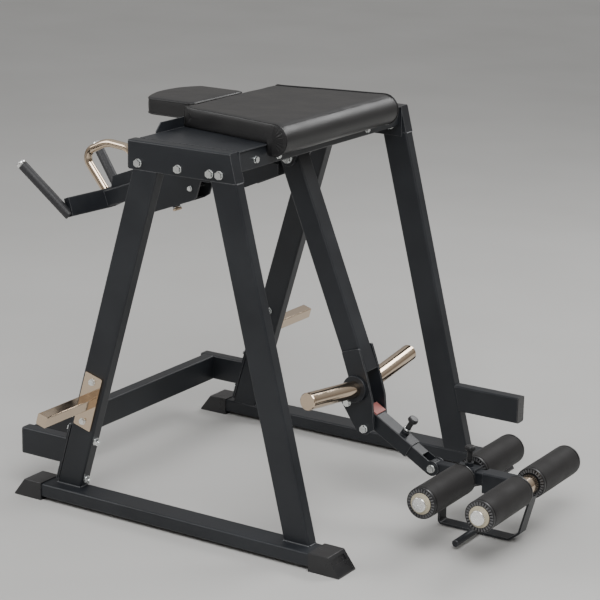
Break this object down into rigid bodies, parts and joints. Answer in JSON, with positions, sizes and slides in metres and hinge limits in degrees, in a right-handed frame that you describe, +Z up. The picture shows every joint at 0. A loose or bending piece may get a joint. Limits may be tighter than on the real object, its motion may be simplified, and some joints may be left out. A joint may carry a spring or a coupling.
{
  "type": "reverse hyperextension machine",
  "caption": "Padded hip table on an A-frame with a plate-loaded leg pendulum, telescoping arm, tilting ankle rollers and sliding handles.",
  "frame": {"origin": "middle of the machine's box, at floor level", "axes": "+X towards the rear (the ankle rollers), +Y to the right of a user who lies facing the handles, +Z up"},
  "size_m": [1.6821, 1.368, 1.15],
  "materials": {
    "powder_black": "satin black powder coat with a fine orange-peel texture",
    "chrome": "bright chrome plate",
    "zinc": "bright zinc plate",
    "pad_leather": "black synthetic leather, fine grain, satin",
    "roller_foam": "matte black closed-cell foam",
    "black_plastic": "moulded black plastic",
    "cream_plastic": "cream nylon",
    "button_metal": "turned, bright",
    "grip_rubber": "satin black rubber sleeve",
    "buffer_rubber": "dull red rubber"
  },
  "bodies": {
    "frame": {"chest_pad": "pad_leather", "chest_pad_bracket": "powder_black", "foot_caps": "black_plastic", "frame_bolts": "zinc", "front_cross_tube": "powder_black", "handle_sleeve": "powder_black", "left_brace_stub": "powder_black", "left_floor_rail": "powder_black", "left_front_leg": "powder_black", "left_rear_leg": "powder_black", "left_storage_horn": "chrome", "left_top_bar": "powder_black", "main_pad": "pad_leather", "pivot_lugs": "powder_black", "pivot_shaft": "zinc", "rear_beam": "powder_black", "rest_stub": "powder_black", "right_brace_stub": "powder_black", "right_floor_rail": "powder_black", "right_front_leg": "powder_black", "right_rear_leg": "powder_black", "right_storage_horn": "chrome", "right_top_bar": "powder_black", "table_deck": "powder_black", "tube_end_plugs": "black_plastic"},
    "pendulum": {"upper_arm": "powder_black", "right_arm_plate": "powder_black", "left_arm_plate": "powder_black", "right_weight_horn": "chrome", "left_weight_horn": "chrome", "horn_collars": "powder_black", "lower_arm_sleeve": "powder_black", "arm_bolts": "zinc", "arm_spacers": "zinc", "arm_buffer": "buffer_rubber"},
    "lower_arm": {"lower_arm_tube": "powder_black", "ankle_hinge_bolt": "zinc"},
    "arm_pull_pin": {"arm_pin": "black_plastic"},
    "ankle_frame": {"ankle_rail": "powder_black", "stirrup": "powder_black", "rear_axle": "chrome", "rear_roller_washers": "cream_plastic", "rear_roller_buttons": "button_metal"},
    "roller_carriage": {"front_carriage": "powder_black", "front_stub_axles": "chrome", "front_roller_washers": "cream_plastic", "front_roller_buttons": "button_metal"},
    "carriage_pull_pin": {"carriage_pin": "black_plastic"},
    "handle_carriage": {"handle_beam": "powder_black", "loop_handle": "chrome", "hand_grips": "grip_rubber"},
    "handle_pull_pin": {"handle_pin": "chrome"},
    "left_front_roller": {"left_front_roller_foam": "roller_foam", "left_front_roller_core": "black_plastic"},
    "right_front_roller": {"right_front_roller_foam": "roller_foam", "right_front_roller_core": "black_plastic"},
    "left_rear_roller": {"left_rear_roller_foam": "roller_foam", "left_rear_roller_core": "black_plastic"},
    "right_rear_roller": {"right_rear_roller_foam": "roller_foam", "right_rear_roller_core": "black_plastic"}
  },
  "joints": [
    {"name": "pendulum_swing", "type": "hinge", "parent": "frame", "child": "pendulum", "pos_m": [0.027, 0, 1], "axis": [0, -1, 0], "range_deg": [0, 48]},
    {"name": "lower_arm_slide", "type": "slide", "parent": "pendulum", "child": "lower_arm", "axis": [0.866, 0, -0.5], "range_m": [-0.03, 0.09]},
    {"name": "arm_pin_pull", "type": "slide", "parent": "pendulum", "child": "arm_pull_pin", "axis": [0.5, 0, 0.866], "range_m": [0, 0.009], "stiffness_N_per_m": 800, "springref_m": -0.006},
    {"name": "ankle_frame_tilt", "type": "hinge", "parent": "lower_arm", "child": "ankle_frame", "pos_m": [0.514, 0, 0.163], "axis": [0, -1, 0], "range_deg": [-30, 45]},
    {"name": "roller_carriage_slide", "type": "slide", "parent": "ankle_frame", "child": "roller_carriage", "axis": [1, 0, 0], "range_m": [-0.03, 0.02]},
    {"name": "carriage_pin_pull", "type": "slide", "parent": "roller_carriage", "child": "carriage_pull_pin", "axis": [0, 0, 1], "range_m": [0, 0.009], "stiffness_N_per_m": 800, "springref_m": -0.006},
    {"name": "handle_slide", "type": "slide", "parent": "frame", "child": "handle_carriage", "axis": [0.9336, 0, 0.3584], "range_m": [-0.08, 0.05]},
    {"name": "handle_pin_pull", "type": "slide", "parent": "frame", "child": "handle_pull_pin", "axis": [0.3584, 0, -0.9336], "range_m": [0, 0.009], "stiffness_N_per_m": 800, "springref_m": -0.006},
    {"name": "left_front_roller_spin", "type": "hinge", "parent": "roller_carriage", "child": "left_front_roller", "pos_m": [0.619, 0, 0.16], "axis": [0, 1, 0], "continuous": true},
    {"name": "right_front_roller_spin", "type": "hinge", "parent": "roller_carriage", "child": "right_front_roller", "pos_m": [0.619, 0, 0.16], "axis": [0, 1, 0], "continuous": true},
    {"name": "left_rear_roller_spin", "type": "hinge", "parent": "ankle_frame", "child": "left_rear_roller", "pos_m": [0.796, 0, 0.162], "axis": [0, 1, 0], "continuous": true},
    {"name": "right_rear_roller_spin", "type": "hinge", "parent": "ankle_frame", "child": "right_rear_roller", "pos_m": [0.796, 0, 0.162], "axis": [0, 1, 0], "continuous": true}
  ]
}
